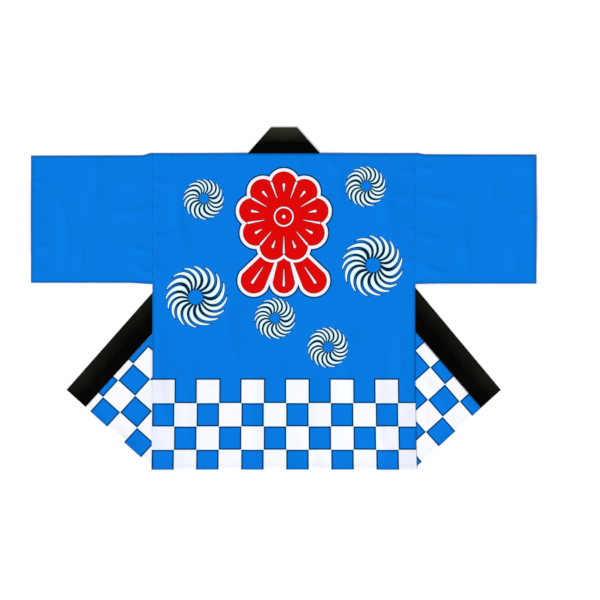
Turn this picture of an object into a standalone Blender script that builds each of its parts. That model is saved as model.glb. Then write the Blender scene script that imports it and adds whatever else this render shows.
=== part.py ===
"""A happi coat laid flat on a surface, back upwards, with both fronts turned out from under it.

The coat is cut and sewn from straight pieces: a back, two fronts, two sleeves and one long collar band.
X runs from the wearer's left cuff to the right cuff, Y from the hem to the neck, and Z up from the surface.
Every sheet is drawn as it was cut, creased along straight lines, lifted over what lies under it, and
given its thickness by a Solidify modifier. Sizes are in metres.
"""

import math

import bmesh
import bpy
from mathutils import Vector

# Cut sizes
BODY_WIDTH = 0.656
BODY_LENGTH = 0.790
CUFF_TO_CUFF = 1.264
SLEEVE_DEPTH = 0.326
NECK_WIDTH = 0.181
COLLAR_WIDTH = 0.065
COLLAR_TOP = 0.065  # the level edge of the collar behind the neck
TURNED_OUT = math.radians(42.2)  # from straight down to the turned-out collar
CREASE_INSET = 0.005  # from each side seam to the crease, along the hem

# Cloth
CLOTH = 0.0012
SEAM_GAP = 0.0003
STEP = CLOTH + SEAM_GAP  # from one lying layer to the next
NECK_CLIP = (0.003, 0.003)  # cleared each way from the neck's corners, where the collar turns over
CREASE_CLIP = (0.001, 0.0045)  # cleared from the collar's seam, where the crease crosses it
ROLL = STEP / 2  # radius of every crease, at the middle of the cloth
ROLL_SIDES = 6

# How far the cloth takes to come down beside what it lies on
REST = COLLAR_WIDTH
SLOPE = 0.100

# Mesh sizes
BACK_GRID = (22, 26)
FRONT_GRID = (8, 26)
COLLAR_GRID = (2, 30)
SLEEVE_LENGTH_STEPS = 8
SLEEVE_DEPTH_STEPS = 9

# The cuff of each sleeve lies a little lower at its top, and higher at its underarm, than the armhole
SLEEVES = (
    {"side": -1, "name": "sleeve_left", "top_drop": 0.007, "under_rise": 0.003},
    {"side": 1, "name": "sleeve_right", "top_drop": 0.003, "under_rise": 0.001},
)

BLUE = (0.0, 0.195, 0.768, 1.0)
BLACK = (0.004, 0.004, 0.003, 1.0)

SIDE_X = BODY_WIDTH / 2
NECK_X = NECK_WIDTH / 2
FREE_X = NECK_X - COLLAR_WIDTH  # the collar's free edge, before it is turned out
HEM_Y = -(BODY_LENGTH + COLLAR_WIDTH) / 2
SHOULDER_Y = HEM_Y + BODY_LENGTH
UNDERARM_Y = SHOULDER_Y - SLEEVE_DEPTH
CREASE_X = SIDE_X - CREASE_INSET  # where the crease meets the hem
CREASE_Y = HEM_Y + (CREASE_X - NECK_X) / math.tan(TURNED_OUT / 2)  # where it crosses the collar's seam

HALF_TURN = math.pi * ROLL
UP = Vector((0, 0, 1))


def side_vector(side, x, y):
    """A horizontal vector given for the wearer's right, turned to the side asked for."""
    return Vector((side * x, y, 0))


def crease_of(side):
    """A point on the crease that a front is turned out along, and the way past it, to the middle."""
    foot = side_vector(side, CREASE_X, HEM_Y)
    past = side_vector(side, -math.cos(TURNED_OUT / 2), -math.sin(TURNED_OUT / 2))
    return foot, past


def free_edge_of(side):
    """A point on the turned-out collar's free edge, and the way past it, off the coat."""
    foot, past = crease_of(side)
    top = side_vector(side, FREE_X, foot.y + (CREASE_X - FREE_X) / math.tan(TURNED_OUT / 2))
    off = side_vector(side, math.cos(TURNED_OUT), math.sin(TURNED_OUT))
    return top, off


def eased(distance, length):
    """1 up to a distance of 0, 0 past the length, and a smooth slope between."""
    share = min(max(distance / length, 0), 1)
    return 1 - share * share * (3 - 2 * share)


def lift(point):
    """Height of the lower side of the fronts and the sleeves' under layer, over the turned-out collar."""
    side = 1 if point.x > 0 else -1
    edge, off = free_edge_of(side)
    return STEP * eased((point - edge).dot(off) - REST, SLOPE)


def cover(point):
    """Height of the lower side of the back and the sleeves' upper layer, over everything under them."""
    side = 1 if point.x > 0 else -1
    foot, past = crease_of(side)
    inside = max((point - foot).dot(past), FREE_X - abs(point.x))
    return (lift(point) + STEP) * eased(inside - REST / 2, SLOPE)


def cut(bm, point, across):
    """Adds an edge line where an upright plane crosses the flat cloth."""
    everything = bm.verts[:] + bm.edges[:] + bm.faces[:]
    bmesh.ops.bisect_plane(bm, geom=everything, dist=1e-6, plane_co=point, plane_no=across)


def remove_faces(bm, wanted):
    """Removes the faces whose middle passes the test."""
    found = [face for face in bm.faces if wanted(face.calc_center_median())]
    bmesh.ops.delete(bm, geom=found, context="FACES")


def crease(bm, line, past, turn):
    """Turns the cloth past a line over on itself, upwards (turn 1) or downwards (turn -1)."""
    start = line - past * HALF_TURN / 2
    for step in range(ROLL_SIDES + 1):
        cut(bm, start + past * (HALF_TURN * step / ROLL_SIDES), past)
    for vertex in bm.verts:
        beyond = (vertex.co - start).dot(past)
        if beyond > 0:
            angle = min(beyond / ROLL, math.pi)
            reach = ROLL * math.sin(angle) - max(beyond - HALF_TURN, 0)
            vertex.co += past * (reach - beyond) + UP * (turn * ROLL * (1 - math.cos(angle)))


def flat_cloth(low, high, grid):
    """A rectangle of cloth, faces up, from its low corner to its high corner."""
    bm = bmesh.new()
    bmesh.ops.create_grid(bm, x_segments=grid[0], y_segments=grid[1], size=0.5)
    for vertex in bm.verts:
        vertex.co.x = low[0] + (vertex.co.x + 0.5) * (high[0] - low[0])
        vertex.co.y = low[1] + (vertex.co.y + 0.5) * (high[1] - low[1])
    return bm


def clip(bm, middle, half):
    """Clears a small rectangle where cloth turns at the collar's seam."""
    for axis in (0, 1):
        across = Vector((0, 0, 0))
        across[axis] = 1
        for way in (-1, 1):
            cut(bm, middle + across * (way * half[axis]), across)
    remove_faces(bm, lambda p: abs(p.x - middle.x) < half[0] and abs(p.y - middle.y) < half[1])


def sewn_piece(collection, name, bm, material):
    """An object from a sheet, with the sheet in the middle of the cloth's thickness."""
    bmesh.ops.recalc_face_normals(bm, faces=bm.faces)
    mesh = bpy.data.meshes.new(name)
    bm.to_mesh(mesh)
    bm.free()
    mesh.materials.append(material)
    piece = bpy.data.objects.new(name, mesh)
    collection.objects.link(piece)
    solid = piece.modifiers.new("cloth", "SOLIDIFY")
    solid.thickness = CLOTH
    solid.offset = 0
    solid.use_even_offset = True
    return piece


def make_back(collection, material):
    """The back, from the hem to the shoulder folds, which it turns over to meet the fronts."""
    bm = flat_cloth((-SIDE_X, HEM_Y), (SIDE_X, SHOULDER_Y + HALF_TURN), BACK_GRID)
    across_y = Vector((0, 1, 0))
    for step in range(ROLL_SIDES):
        cut(bm, Vector((0, SHOULDER_Y + HALF_TURN * step / ROLL_SIDES, 0)), across_y)
    cut(bm, Vector((0, SHOULDER_Y - SEAM_GAP, 0)), across_y)
    for side in (-1, 1):
        clip(bm, side_vector(side, NECK_X, SHOULDER_Y), NECK_CLIP)
    remove_faces(bm, lambda p: abs(p.x) < NECK_X and p.y > SHOULDER_Y - SEAM_GAP)
    for vertex in bm.verts:
        flat = vertex.co.copy()
        angle = max(flat.y - SHOULDER_Y, 0) / ROLL
        flat.y = min(flat.y, SHOULDER_Y)
        height = cover(flat) + CLOTH / 2 - ROLL * (1 - math.cos(angle))
        vertex.co = flat + Vector((0, ROLL * math.sin(angle), height))
    return sewn_piece(collection, "back", bm, material)


def make_front(collection, material, side, name):
    """One front, from its side seam to the collar seam, turned out under itself along its crease."""
    edges = sorted((side * SIDE_X, side * (NECK_X + SEAM_GAP)))
    bm = flat_cloth((edges[0], HEM_Y), (edges[1], SHOULDER_Y - SEAM_GAP), FRONT_GRID)
    clip(bm, side_vector(side, NECK_X, SHOULDER_Y), NECK_CLIP)
    for vertex in bm.verts:
        vertex.co.z = lift(vertex.co) + CLOTH / 2
    crease(bm, *crease_of(side), -1)
    return sewn_piece(collection, name, bm, material)


def make_collar(collection, material):
    """The band, from behind the neck down both fronts: half of it, mirrored at the middle of the neck."""
    low = (NECK_X - COLLAR_WIDTH, HEM_Y)
    bm = flat_cloth(low, (NECK_X, SHOULDER_Y + NECK_X), COLLAR_GRID)
    clip(bm, Vector((NECK_X, CREASE_Y, 0)), CREASE_CLIP)
    for vertex in bm.verts:
        vertex.co.z = STEP + CLOTH / 2
    crease(bm, *crease_of(1), -1)
    over_shoulder = Vector((math.sqrt(0.5), math.sqrt(0.5), 0))
    crease(bm, Vector((NECK_X, SHOULDER_Y, 0)), over_shoulder, 1)
    slant = (NECK_WIDTH - COLLAR_TOP) / 2
    for vertex in bm.verts:
        share = min(max((vertex.co.y - SHOULDER_Y) / COLLAR_WIDTH, 0), 1)
        vertex.co.x *= (NECK_X - slant * share) / (NECK_X - COLLAR_WIDTH * share)
    collar = sewn_piece(collection, "collar", bm, material)
    mirror = collar.modifiers.new("other side", "MIRROR")
    mirror.merge_threshold = 0.0001
    collar.modifiers.move(1, 0)
    return collar


def sleeve_ring(side, x, top, under):
    """Points round the middle of a sleeve's cloth at one place along it, and their layer's height."""
    edge = ROLL + CLOTH / 2
    low, high = under + edge, top - edge
    depths = [low + (high - low) * step / SLEEVE_DEPTH_STEPS for step in range(SLEEVE_DEPTH_STEPS + 1)]
    ring = [Vector((x, y, lift(Vector((x, y, 0))) + CLOTH / 2)) for y in depths]
    upper = [Vector((x, y, cover(Vector((x, y, 0))) + CLOTH / 2)) for y in reversed(depths)]
    for fold_y, out, others in ((high, 1, upper), (low, -1, [])):
        start = ring[-1].z
        for step in range(1, ROLL_SIDES):
            angle = math.pi * step / ROLL_SIDES
            rise = out * ROLL * (1 - math.cos(angle))
            ring.append(Vector((x, fold_y + out * ROLL * math.sin(angle), start + rise)))
        ring += others
    return ring


def make_sleeve(collection, material, side, name, top_drop, under_rise):
    """A straight sleeve, one piece folded at its top and sewn at the underarm: a flat tube, open at both ends."""
    bm = bmesh.new()
    rings = []
    start = SIDE_X + SEAM_GAP
    for step in range(SLEEVE_LENGTH_STEPS + 1):
        share = step / SLEEVE_LENGTH_STEPS
        x = side * (start + (CUFF_TO_CUFF / 2 - start) * share)
        top = SHOULDER_Y + ROLL + CLOTH / 2 - top_drop * share
        under = UNDERARM_Y + under_rise * share
        rings.append([bm.verts.new(point) for point in sleeve_ring(side, x, top, under)])
    for near, far in zip(rings, rings[1:]):
        for i in range(len(near)):
            bm.faces.new((near[i], near[i - 1], far[i - 1], far[i]))
    return sewn_piece(collection, name, bm, material)


def cloth_material(name, colour, roughness):
    """A Principled material with the dyed cloth's colour."""
    material = bpy.data.materials.new(name)
    material.use_nodes = True
    shader = material.node_tree.nodes["Principled BSDF"]
    shader.inputs["Base Color"].default_value = colour
    shader.inputs["Roughness"].default_value = roughness
    shader.inputs["Metallic"].default_value = 0
    return material


def clear_scene():
    for obj in list(bpy.data.objects):
        bpy.data.objects.remove(obj)


def main():
    clear_scene()
    collection = bpy.data.collections.new("happi_coat")
    bpy.context.scene.collection.children.link(collection)
    blue = cloth_material("dyed_cotton", BLUE, 0.8)
    black = cloth_material("black_collar", BLACK, 0.85)
    make_back(collection, blue)
    make_front(collection, blue, -1, "front_left")
    make_front(collection, blue, 1, "front_right")
    make_collar(collection, black)
    for sleeve in SLEEVES:
        make_sleeve(collection, blue, **sleeve)


main()
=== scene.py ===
# %% [markdown]
# # A happi coat, laid flat
#
# A happi is a short festival coat cut from straight strips of cotton: one back, two fronts, two sleeves and a
# long band. This one lies face down on a pale floor, with its fronts folded out from under it at both sides.
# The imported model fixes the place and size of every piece. Here each gets its real cloth: a thin sheet, drawn
# as it was cut, folded where it is folded, and dyed with the coat's pattern.

import math
from functools import partial

import bmesh
import bpy
import numpy as np
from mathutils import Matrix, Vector


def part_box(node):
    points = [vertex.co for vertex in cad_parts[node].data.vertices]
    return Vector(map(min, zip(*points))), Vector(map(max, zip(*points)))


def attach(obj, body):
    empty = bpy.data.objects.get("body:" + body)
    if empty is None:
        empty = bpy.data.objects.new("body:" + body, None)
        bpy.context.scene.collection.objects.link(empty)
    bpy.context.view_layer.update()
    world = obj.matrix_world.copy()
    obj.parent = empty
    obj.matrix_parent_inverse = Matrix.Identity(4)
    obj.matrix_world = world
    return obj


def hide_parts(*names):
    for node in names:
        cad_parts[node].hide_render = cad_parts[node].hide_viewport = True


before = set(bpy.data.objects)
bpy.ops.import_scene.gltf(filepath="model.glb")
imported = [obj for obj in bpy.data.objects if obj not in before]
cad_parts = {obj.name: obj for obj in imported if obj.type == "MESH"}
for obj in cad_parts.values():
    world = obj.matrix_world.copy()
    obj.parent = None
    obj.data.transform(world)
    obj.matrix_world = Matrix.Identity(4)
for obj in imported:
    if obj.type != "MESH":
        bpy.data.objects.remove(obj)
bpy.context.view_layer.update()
back_low, back_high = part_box("back")
print("packed nodes:", sorted(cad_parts))

# %% [markdown]
# ## Camera
#
# The camera looks straight down through a long lens from well up, which keeps every edge square.

# %% Camera
scene = bpy.context.scene
VIEW_WIDTH = 1.5
VIEW_CENTRE = (0.0405, -0.0037)
LENS = 80.0

camera_data = bpy.data.cameras.new("camera")
camera_data.lens = LENS
camera_height = VIEW_WIDTH * LENS / camera_data.sensor_width
camera = bpy.data.objects.new("camera", camera_data)
camera.location = (VIEW_CENTRE[0], VIEW_CENTRE[1], camera_height)
scene.collection.objects.link(camera)
scene.camera = camera
print(f"camera {camera_height:.2f} m above the floor")

# %% [markdown]
# ## Floor and light
#
# White squares need even light, or they turn grey on one side. A very wide sun does the work of a large
# softbox a long way off, and the white world fills the shadows. The Standard view keeps the dye bright.

# %% Floor and light
FLOOR_SIZE = 60.0
SUN_TILT = math.radians(44)
SUN_TURN = math.radians(-38)
SUN_SPREAD = math.radians(28)
SUN_STRENGTH = 2.25
FILL_STRENGTH = 0.64



def new_material(name):
    """A material and its shader."""
    material = bpy.data.materials.new(name)
    material.use_nodes = True
    return material, material.node_tree.nodes["Principled BSDF"]


def put(node, values):
    """Sets plain numbers and colours on a node's inputs."""
    for label, value in values.items():
        node.inputs[label].default_value = value


scene.view_settings.view_transform = "Standard"
floor_form = bmesh.new()
bmesh.ops.create_grid(floor_form, x_segments=1, y_segments=1, size=FLOOR_SIZE / 2)
floor_mesh = bpy.data.meshes.new("floor")
floor_form.to_mesh(floor_mesh)
floor_form.free()
floor = bpy.data.objects.new("floor", floor_mesh)
scene.collection.objects.link(floor)

pale, pale_shader = new_material("pale_floor")
put(pale_shader, {"Base Color": (0.9, 0.9, 0.9, 1), "Roughness": 0.9, "Specular IOR Level": 0.2})
floor_mesh.materials.append(pale)

sun_data = bpy.data.lights.new("softbox", "SUN")
sun_data.energy = SUN_STRENGTH
sun_data.angle = SUN_SPREAD
sun = bpy.data.objects.new("softbox", sun_data)
sun.rotation_euler = (SUN_TILT, 0, SUN_TURN)
scene.collection.objects.link(sun)

world = bpy.data.worlds.new("studio")
world.use_nodes = True
put(world.node_tree.nodes["Background"], {"Color": (1, 1, 1, 1), "Strength": FILL_STRENGTH})
scene.world = world
print("floor, softbox and studio fill are in place")

# %% [markdown]
# ## Sizes of the coat
#
# These are in metres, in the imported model's frame: X from cuff to cuff, Y from hem to neck, Z up. The coat
# lies in layers 1.5 mm apart, which leaves room for turned hems. Each front is turned out along a slanting
# crease that starts near the side seam.

# %% Sizes of the coat
SIDES = {-1: "left", 1: "right"}
SIDE_X = back_high.x
HEM_Y = back_low.y
BODY_LENGTH = 0.790
SHOULDER_Y = HEM_Y + BODY_LENGTH
SLEEVE_DEPTH = 0.326
UNDERARM_Y = SHOULDER_Y - SLEEVE_DEPTH
NECK_X = 0.0905
COLLAR_WIDTH = 0.065
STAND_TOP = 0.0325
FREE_X = NECK_X - COLLAR_WIDTH
TURNED_OUT = math.radians(42.2)
CREASE_X = SIDE_X - 0.005

WALL = 0.0012
STEP = 0.0015
ROLL = STEP / 2
REST = COLLAR_WIDTH
SLOPE = 0.100

CLOTH = 0.0004
HEM_TURN = 0.011
HEM_ROLL = 0.00025
MESH_SIZE = 0.005
print(f"body {2 * SIDE_X:.3f} x {BODY_LENGTH:.3f} m, collar {COLLAR_WIDTH:.3f} m wide")

# %% [markdown]
# ## How high each layer lies
#
# The turned-out fronts lie on the floor, the rest of each front on them, and the back on top. Where the
# layers below end, the cloth comes down on an easy slope, so heights depend only on the distance from the
# collar and from the crease.

# %% Layer heights
def eased(distance, length):
    """1 up to a distance of 0, 0 past the length, and a smooth slope between."""
    share = np.clip(distance / length, 0, 1)
    return 1 - share * share * (3 - 2 * share)


def lift(x, y):
    """Height of the under side of the fronts and of the sleeves' lower layer."""
    top_y = HEM_Y + (CREASE_X - FREE_X) / math.tan(TURNED_OUT / 2)
    off = (np.abs(x) - FREE_X) * math.cos(TURNED_OUT) + (y - top_y) * math.sin(TURNED_OUT)
    return STEP * eased(off - REST, SLOPE)


def past_crease(x, y):
    """Distance from the crease of a front, towards the middle of the coat."""
    return (CREASE_X - np.abs(x)) * math.cos(TURNED_OUT / 2) - (y - HEM_Y) * math.sin(TURNED_OUT / 2)


def cover(x, y):
    """Height of the under side of the back and of the sleeves' upper layer."""
    inside = np.maximum(past_crease(x, y), FREE_X - np.abs(x))
    return (lift(x, y) + STEP) * eased(inside - REST / 2, SLOPE)


print(f"back lies {1000 * float(cover(SIDE_X, 0.0)):.1f} mm up at its sides")

# %% [markdown]
# ## How cloth is turned
#
# Every hem and fold is the same move: past a line the cloth rolls round a small radius and lies back on
# itself. Points carry their height above the cloth's own middle, so thread and both faces of a band turn
# with it. Close cuts across the mesh give the roll its round section.

# %% Turning and cutting
ROLL_SIDES = 6


def turn_over(points, line, past, way, roll, middle=0.0):
    """Turns the points past a line over, upwards (way 1) or downwards (way -1), round a roll."""
    points = points.copy()
    past = np.array(past) / np.hypot(*past)
    beyond = (points[:, :2] - np.array(line)) @ past + math.pi * roll / 2
    gone = beyond > 0
    angle = np.clip(beyond / roll, 0, math.pi)
    height = points[:, 2] - middle
    arm = roll - way * height
    reach = arm * np.sin(angle) - np.maximum(beyond - math.pi * roll, 0)
    points[gone, :2] += np.outer((reach - beyond)[gone], past)
    points[gone, 2] = (middle + way * (roll - arm * np.cos(angle)))[gone]
    return points


def cut_roll(form, line, past, roll):
    """Cuts a flat mesh across, several times within the length that a roll takes up."""
    past = Vector((past[0], past[1], 0)).normalized()
    for step in range(ROLL_SIDES + 1):
        along = math.pi * roll * (step / ROLL_SIDES - 0.5)
        place = Vector((line[0], line[1], 0)) + past * along
        everything = form.verts[:] + form.edges[:] + form.faces[:]
        bmesh.ops.bisect_plane(form, geom=everything, dist=1e-6, plane_co=place, plane_no=past)


def mirrored(side, x, y):
    return (side * x, y)


def crease_line(side):
    """A point on a front's crease, and the way past it, towards the middle of the coat."""
    past = mirrored(side, -math.cos(TURNED_OUT / 2), -math.sin(TURNED_OUT / 2))
    return mirrored(side, CREASE_X, HEM_Y), past


print("a fold takes up", round(1000 * math.pi * ROLL, 2), "mm of cloth")

# %% [markdown]
# ## The lie of the cloth
#
# Pressed cotton keeps long soft ridges, and short ones pucker in from the seams where sewing has drawn the
# cloth up. Each row is one ridge: its two ends, its half width and its height.

# %% Ridges, in millimetres
BACK_RIDGES = (
    (-262, 330, -246, 118, 16, 3),
    (-170, 352, -188, 205, 12, 2.1),
    (258, 341, 273, 150, 18, 3.2),
    (148, 349, 139, 231, 10, 1.7),
    (-130, 60, -118, -170, 14, 2.3),
    (-305, -60, -286, -330, 17, 3.4),
    (-214, -120, -226, -410, 13, 2.3),
    (-52, -130, -68, -424, 18, 3),
    (71, -190, 80, -428, 14, 2.5),
    (176, -20, 168, -270, 20, 2.9),
    (243, -160, 256, -425, 12, 2.3),
    (307, 10, 296, -240, 15, 3),
    (4, -20, -10, -210, 22, 1.9),
    (-328, 296, -286, 284, 7, 2.3),
    (-328, 226, -298, 219, 6, 1.7),
    (-328, 152, -279, 163, 8, 2.5),
    (-328, 78, -301, 71, 6, 1.9),
    (328, 318, 292, 309, 7, 1.9),
    (328, 247, 281, 255, 8, 2.5),
    (328, 171, 301, 166, 6, 1.7),
    (328, 94, 287, 83, 7, 2.3),
    (-104, 363, -126, 322, 7, 1.7),
    (106, 363, 131, 318, 8, 1.9),
    (-61, 363, -58, 336, 6, 1.3),
    (38, 363, 41, 329, 7, 1.5),
)
SLEEVE_RIDGES = {
    -1: (
        (345, 300, 402, 283, 9, 2.4),
        (336, 224, 430, 214, 11, 3),
        (334, 118, 388, 131, 8, 2.2),
        (332, 64, 372, 79, 7, 2),
        (470, 349, 492, 190, 16, 2.9),
        (560, 250, 548, 70, 13, 2.5),
        (508, 140, 520, 42, 10, 1.9),
        (628, 290, 586, 281, 8, 1.8),
        (628, 121, 590, 132, 9, 2),
        (631, 52, 585, 68, 16, 2.6),
    ),
    1: (
        (340, 322, 384, 330, 8, 2.1),
        (334, 262, 446, 243, 12, 3.1),
        (333, 160, 395, 149, 9, 2.4),
        (332, 88, 412, 61, 10, 2.6),
        (452, 200, 470, 52, 14, 2.6),
        (534, 345, 522, 214, 15, 2.7),
        (590, 176, 579, 49, 11, 2.1),
        (628, 318, 593, 326, 9, 2),
        (628, 202, 577, 209, 10, 2.2),
        (631, 348, 598, 330, 15, 2.4),
    ),
}
FLAP_RIDGES = {
    -1: (
        (352, -392, 428, -306, 12, 2.5),
        (392, -322, 334, -234, 10, 2),
        (470, -268, 398, -172, 11, 2.2),
        (434, -330, 478, -286, 7, 1.6),
    ),
    1: (
        (366, -410, 402, -350, 10, 2.2),
        (410, -300, 352, -205, 12, 2.5),
        (482, -290, 428, -236, 9, 1.9),
        (342, -330, 356, -262, 9, 1.8),
    ),
}


BOW = 0.06
END_HEIGHT = 0.35
TAIL = 1.6
GROOVE_DEPTH = 0.0003
GROOVE_WIDTH = 0.0018


def ridges(x, y, rows):
    """Height of a set of ridges: round across, tapering to nothing at both ends."""
    height = np.zeros_like(y)
    for x1, y1, x2, y2, width, top in np.array(rows) / 1000:
        along_x = x2 - x1
        along_y = y2 - y1
        length = math.hypot(along_x, along_y)
        share = ((x - x1) * along_x + (y - y1) * along_y) / length**2
        bow = BOW * length * np.sin(math.pi * np.clip(share, 0, 1))
        across = ((y - y1) * along_x - (x - x1) * along_y) / length + bow
        past_end = np.maximum(np.abs(share - 0.5) - 0.5, 0) * length
        taper = END_HEIGHT + (1 - END_HEIGHT) * np.sin(math.pi * np.clip(share, 0, 1))
        height += top * taper * np.exp(-((across / width) ** 2) - (past_end / (TAIL * width)) ** 2)
    return height


def seam_groove(across):
    """A small dip where the sleeve is sewn to the side of the body."""
    return GROOVE_DEPTH * np.exp(-(((across - SIDE_X) / GROOVE_WIDTH) ** 2))


def drawn_up(along, inward, pitch, height):
    """Small puckers beside a line of stitches, dying away inward. Two waves keep them uneven."""
    wave = np.sin(2 * math.pi * along / pitch) + 0.6 * np.sin(2 * math.pi * along / (1.7 * pitch) + 1.3)
    return height * (1 + wave / 1.6) * np.exp(-((inward / (0.8 * pitch)) ** 2))


print(len(BACK_RIDGES), "ridges on the back,", len(SLEEVE_RIDGES[1]), "on each sleeve")

# %% [markdown]
# ## From pattern to place
#
# Each piece has one function that puts points of its flat pattern where they lie. The pattern is drawn in the
# coat's own X and Y, so only what is folded moves far. Thread is placed by the same functions.

# %% Where the back lies
HEM_STITCH = 0.0095
FACE_UP = WALL - CLOTH / 2
HEM_SLOPE = 0.004
SHOULDER_EASE = 0.012
SPLAY = 0.004
SPLAY_TOP = -0.17
SPLAY_RUN = 0.26
SPLAY_LEFT = 0.6


def splayed(points):
    """The skirt widens by a few millimetres towards its hem, more on the right."""
    down = np.clip((SPLAY_TOP - points[:, 1]) / SPLAY_RUN, 0, 1) ** 1.4
    points[:, 0] += SPLAY * down * np.clip(points[:, 0] / SIDE_X, -SPLAY_LEFT, 1)
    return points


def place_back(points):
    """The hem turns under, and the top rolls over the shoulders to meet the fronts."""
    points = turn_over(points, (0, HEM_Y), (0, -1), -1, HEM_ROLL)
    x = points[:, 0]
    y = np.minimum(points[:, 1], SHOULDER_Y)
    hem_gap = np.maximum(y - HEM_Y, 0)
    level = cover(x, y) + FACE_UP - 2 * HEM_ROLL * (1 - eased(hem_gap - HEM_TURN, HEM_SLOPE))
    relief = ridges(x, y, BACK_RIDGES)
    relief += drawn_up(x, hem_gap - HEM_STITCH, pitch=0.013, height=0.00035)
    relief -= seam_groove(np.abs(x)) * (y > UNDERARM_Y)
    relief *= 1 - eased(SHOULDER_Y - y, SHOULDER_EASE)
    over = points[:, 1] > SHOULDER_Y
    angle = np.clip((points[:, 1] - SHOULDER_Y) / ROLL, 0, math.pi)
    points[:, 1] = np.where(over, SHOULDER_Y + (ROLL + points[:, 2]) * np.sin(angle), points[:, 1])
    rolled = -ROLL + (ROLL + points[:, 2]) * np.cos(angle)
    points[:, 2] = level + relief + np.where(over, rolled, points[:, 2])
    return splayed(points)


print("the hem is turned up", 1000 * HEM_TURN, "mm")

# %% [markdown]
# The fronts lie with their outside down. Past the crease each turns under itself and comes out at the side
# with its outside up, so its hem turns the other way from the back's. The band turns along the same crease,
# and at the shoulder it turns once more, to run behind the neck.

# %% Where the fronts and the band lie
CREEP = {
    -1: {"free": (-0.0005, 0.0130), "sewn": (0.0, 0.0)},
    1: {"free": (-0.0012, 0.0410), "sewn": (-0.0030, 0.0250)},
}
CREEP_TOP = 0.38
CREEP_EASE = 0.34
FLAP_START = 0.004
FLAP_EASE = 0.020


def crept(points, side):
    """The grain has slid a little towards the middle, more with height, and not alike on both sides."""
    up = points[:, 1] - HEM_Y
    in_band = np.clip((NECK_X - np.abs(points[:, 0])) / COLLAR_WIDTH, 0, 1)
    free = CREEP[side]["free"]
    sewn = CREEP[side]["sewn"]
    slid = in_band * (free[0] + free[1] * up) + (1 - in_band) * (sewn[0] + sewn[1] * up)
    held = eased(np.abs(points[:, 0]) - NECK_X, SIDE_X - NECK_X) * eased(up - CREEP_TOP, CREEP_EASE)
    points[:, 0] -= side * slid * held
    return points


def place_front(points, side):
    """Hem turned in, then laid at its layer, then turned out along the crease."""
    points = crept(turn_over(points, (0, HEM_Y), (0, -1), 1, HEM_ROLL), side)
    hem_gap = np.maximum(points[:, 1] - HEM_Y, 0)
    middle = STEP + CLOTH / 2
    level = lift(points[:, 0], points[:, 1]) - STEP
    sunk = 2 * HEM_ROLL * (1 - eased(hem_gap - HEM_TURN, HEM_SLOPE))
    line, past = crease_line(side)
    turned = (points[:, :2] - np.array(line)) @ np.array(past) > 0
    points[:, 2] += middle + level
    points = turn_over(points, line, past, -1, ROLL, middle)
    x = side * points[:, 0]
    y = points[:, 1]
    bare = 1 - eased(x - SIDE_X - FLAP_START, FLAP_EASE)
    relief = ridges(x, y, FLAP_RIDGES[side]) * bare
    relief += drawn_up(x + y, hem_gap - HEM_STITCH, pitch=0.012, height=0.0003)
    points[turned, 2] += (FACE_UP - CLOTH / 2 - sunk + relief)[turned]
    return points


def place_band(points, side):
    """Half of the band, from its front hem to the middle of the neck."""
    middle = STEP + WALL / 2
    points = crept(points + np.array((0, 0, middle)), side)
    line, past = crease_line(side)
    points = turn_over(points, line, past, -1, ROLL, middle)
    points = turn_over(points, mirrored(side, NECK_X, SHOULDER_Y), (side, 1), 1, ROLL, middle)
    share = np.clip((points[:, 1] - SHOULDER_Y) / COLLAR_WIDTH, 0, 1)
    slant = (NECK_X - STAND_TOP) * share
    points[:, 0] *= (NECK_X - slant) / (NECK_X - COLLAR_WIDTH * share)
    points[:, 2] = np.maximum(points[:, 2], 0)
    return points


print("crease runs in from the side at", round(math.degrees(TURNED_OUT / 2), 1), "degrees")

# %% [markdown]
# ## Drawing the pattern pieces
#
# A pattern piece is a fine flat grid. Its points keep their flat place in a UV map called cut, in metres, and
# the dye reads that map, so the print follows the cloth through every fold. A Solidify gives the sheet its
# two faces, with the wrong side in its own colour.

# %% Pattern pieces
def positions(start, end):
    """Even places along a pattern's side."""
    return np.linspace(start, end, round((end - start) / MESH_SIZE) + 1)


def hemmed(start, end):
    """Places up a piece, with close ones where its hem rolls over."""
    found = positions(start, end)
    close = HEM_Y + math.pi * HEM_ROLL * (np.arange(ROLL_SIDES + 1) / ROLL_SIDES - 0.5)
    found = found[np.abs(found - HEM_Y) > math.pi * HEM_ROLL]
    return np.sort(np.concatenate([found, close]))


def flat_cut(form):
    """A cut map that holds every corner's flat place."""
    cut_map = form.loops.layers.uv.new("cut")
    for face in form.faces:
        for corner in face.loops:
            corner[cut_map].uv = corner.vert.co.xy
    return form


def tube(form, rings):
    """Joins rings of (points, where the cut of each square starts, where it ends, how far along)."""
    cut_map = form.loops.layers.uv.new("cut")
    for (near, starts, ends, y1), (far, _, _, y2) in zip(rings, rings[1:]):
        for i in range(len(near)):
            face = form.faces.new((near[i - 1], near[i], far[i], far[i - 1]))
            corners = ((starts[i], y1), (ends[i], y1), (ends[i], y2), (starts[i], y2))
            for corner, uv in zip(face.loops, corners):
                corner[cut_map].uv = uv
    return cut_map


def pattern(xs, ys, keep=None):
    """A flat grid of cloth with its cut map. keep says which squares belong to the piece."""
    form = bmesh.new()
    rows = [[form.verts.new((x, y, 0)) for x in xs] for y in ys]
    for low, high, y1, y2 in zip(rows, rows[1:], ys, ys[1:]):
        for i in range(len(xs) - 1):
            if keep is None or keep((xs[i] + xs[i + 1]) / 2, (y1 + y2) / 2):
                form.faces.new((low[i], low[i + 1], high[i + 1], high[i]))
    loose = [vert for vert in form.verts if not vert.link_faces]
    bmesh.ops.delete(form, geom=loose, context="VERTS")
    return flat_cut(form)


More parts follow.
